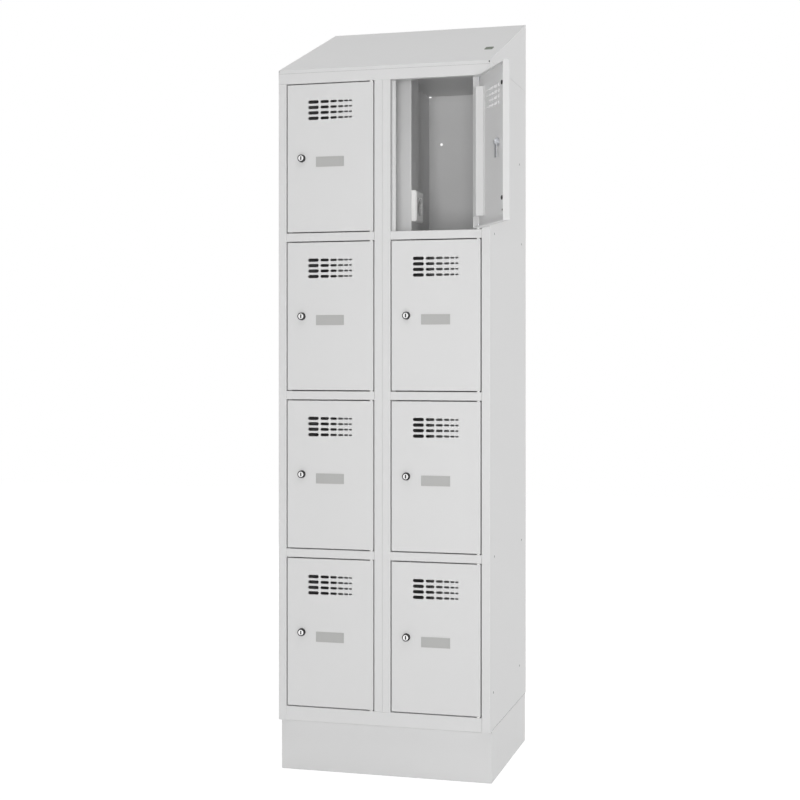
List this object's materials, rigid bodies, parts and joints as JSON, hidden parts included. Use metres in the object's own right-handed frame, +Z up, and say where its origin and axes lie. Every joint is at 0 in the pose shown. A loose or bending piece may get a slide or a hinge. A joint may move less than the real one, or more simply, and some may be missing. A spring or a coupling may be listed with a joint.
{
  "type": "charging cabinet",
  "caption": "Free-standing sheet-steel charging locker: stacked compartments with hinged vented doors, cam locks, outlets inside, a sloping roof and a recessed plinth.",
  "frame": {"origin": "on the floor at the middle of the cabinet's footprint", "axes": "+Z up, the doors' side faces -Y, +X to the right seen from the front"},
  "size_m": [0.6944, 0.7096, 2.144],
  "materials": {
    "body_paint": "light grey powder coat",
    "door_paint": "light grey powder coat",
    "plinth_paint": "light grey powder coat",
    "pin_steel": "zinc plated",
    "bush_plastic": "natural nylon",
    "lock_dark": "dark gloss",
    "lock_chrome": "polished",
    "label_plastic": "grey, satin",
    "buffer_rubber": "black",
    "grommet_rubber": "dark grey",
    "outlet_plastic": "white moulded",
    "contact_metal": "nickel plated",
    "port_plastic": "dark moulded",
    "cable_sheath": "black sheath",
    "junction_plastic": "grey moulded"
  },
  "bodies": {
    "carcass": {"side_panel_left": "body_paint", "side_panel_right": "body_paint", "partition_left": "body_paint", "partition_right": "body_paint", "back_panel": "body_paint", "top_panel": "body_paint", "floor_panel": "body_paint", "shelves": "body_paint", "roof": "body_paint", "plinth": "plinth_paint", "cable_ducts": "body_paint", "cable_grommet": "grommet_rubber", "hinge_pins": "pin_steel", "hinge_bushes": "bush_plastic", "outlet_housings": "outlet_plastic", "outlet_inserts": "outlet_plastic", "earth_pins": "contact_metal", "charging_ports": "port_plastic", "junction_box": "junction_plastic", "supply_cables": "cable_sheath"},
    "door_left_1": {"door_left_1": "door_paint", "label_holder_left_1": "label_plastic", "buffers_left_1": "buffer_rubber", "lock_housing_left_1": "lock_dark"},
    "lock_left_1": {"lock_plug_left_1": "lock_chrome"},
    "door_left_2": {"door_left_2": "door_paint", "label_holder_left_2": "label_plastic", "buffers_left_2": "buffer_rubber", "lock_housing_left_2": "lock_dark"},
    "lock_left_2": {"lock_plug_left_2": "lock_chrome"},
    "door_left_3": {"door_left_3": "door_paint", "label_holder_left_3": "label_plastic", "buffers_left_3": "buffer_rubber", "lock_housing_left_3": "lock_dark"},
    "lock_left_3": {"lock_plug_left_3": "lock_chrome"},
    "door_left_4": {"door_left_4": "door_paint", "label_holder_left_4": "label_plastic", "buffers_left_4": "buffer_rubber", "lock_housing_left_4": "lock_dark"},
    "lock_left_4": {"lock_plug_left_4": "lock_chrome"},
    "door_right_1": {"door_right_1": "door_paint", "label_holder_right_1": "label_plastic", "buffers_right_1": "buffer_rubber", "lock_housing_right_1": "lock_dark"},
    "lock_right_1": {"lock_plug_right_1": "lock_chrome"},
    "door_right_2": {"door_right_2": "door_paint", "label_holder_right_2": "label_plastic", "buffers_right_2": "buffer_rubber", "lock_housing_right_2": "lock_dark"},
    "lock_right_2": {"lock_plug_right_2": "lock_chrome"},
    "door_right_3": {"door_right_3": "door_paint", "label_holder_right_3": "label_plastic", "buffers_right_3": "buffer_rubber", "lock_housing_right_3": "lock_dark"},
    "lock_right_3": {"lock_plug_right_3": "lock_chrome"},
    "door_right_4": {"door_right_4": "door_paint", "label_holder_right_4": "label_plastic", "buffers_right_4": "buffer_rubber", "lock_housing_right_4": "lock_dark"},
    "lock_right_4": {"lock_plug_right_4": "lock_chrome"}
  },
  "joints": [
    {"name": "door_hinge_left_1", "type": "hinge", "parent": "carcass", "child": "door_left_1", "pos_m": [-0.0325, -0.2452, 1.69637], "axis": [0, 0, 1], "range_deg": [0, 120.7]},
    {"name": "lock_turn_left_1", "type": "hinge", "parent": "door_left_1", "child": "lock_left_1", "pos_m": [-0.232, -0.25, 1.69637], "axis": [0, 1, 0], "range_deg": [0, 90]},
    {"name": "door_hinge_left_2", "type": "hinge", "parent": "carcass", "child": "door_left_2", "pos_m": [-0.0325, -0.2452, 1.26012], "axis": [0, 0, 1], "range_deg": [0, 120.7]},
    {"name": "lock_turn_left_2", "type": "hinge", "parent": "door_left_2", "child": "lock_left_2", "pos_m": [-0.232, -0.25, 1.26012], "axis": [0, 1, 0], "range_deg": [0, 90]},
    {"name": "door_hinge_left_3", "type": "hinge", "parent": "carcass", "child": "door_left_3", "pos_m": [-0.0325, -0.2452, 0.82388], "axis": [0, 0, 1], "range_deg": [0, 120.7]},
    {"name": "lock_turn_left_3", "type": "hinge", "parent": "door_left_3", "child": "lock_left_3", "pos_m": [-0.232, -0.25, 0.82388], "axis": [0, 1, 0], "range_deg": [0, 90]},
    {"name": "door_hinge_left_4", "type": "hinge", "parent": "carcass", "child": "door_left_4", "pos_m": [-0.0325, -0.2452, 0.38762], "axis": [0, 0, 1], "range_deg": [0, 120.7]},
    {"name": "lock_turn_left_4", "type": "hinge", "parent": "door_left_4", "child": "lock_left_4", "pos_m": [-0.232, -0.25, 0.38762], "axis": [0, 1, 0], "range_deg": [0, 90]},
    {"name": "door_hinge_right_1", "type": "hinge", "parent": "carcass", "child": "door_right_1", "pos_m": [0.2675, -0.2452, 1.69637], "axis": [0, 0, 1], "range_deg": [-120.7, 0]},
    {"name": "lock_turn_right_1", "type": "hinge", "parent": "door_right_1", "child": "lock_right_1", "pos_m": [0.37348, -0.41429, 1.69637], "axis": [-0.8599, -0.5105, 0], "range_deg": [0, 90]},
    {"name": "door_hinge_right_2", "type": "hinge", "parent": "carcass", "child": "door_right_2", "pos_m": [0.2675, -0.2452, 1.26012], "axis": [0, 0, 1], "range_deg": [0, 120.7]},
    {"name": "lock_turn_right_2", "type": "hinge", "parent": "door_right_2", "child": "lock_right_2", "pos_m": [0.068, -0.25, 1.26012], "axis": [0, 1, 0], "range_deg": [0, 90]},
    {"name": "door_hinge_right_3", "type": "hinge", "parent": "carcass", "child": "door_right_3", "pos_m": [0.2675, -0.2452, 0.82388], "axis": [0, 0, 1], "range_deg": [0, 120.7]},
    {"name": "lock_turn_right_3", "type": "hinge", "parent": "door_right_3", "child": "lock_right_3", "pos_m": [0.068, -0.25, 0.82388], "axis": [0, 1, 0], "range_deg": [0, 90]},
    {"name": "door_hinge_right_4", "type": "hinge", "parent": "carcass", "child": "door_right_4", "pos_m": [0.2675, -0.2452, 0.38762], "axis": [0, 0, 1], "range_deg": [0, 120.7]},
    {"name": "lock_turn_right_4", "type": "hinge", "parent": "door_right_4", "child": "lock_right_4", "pos_m": [0.068, -0.25, 0.38762], "axis": [0, 1, 0], "range_deg": [0, 90]}
  ]
}
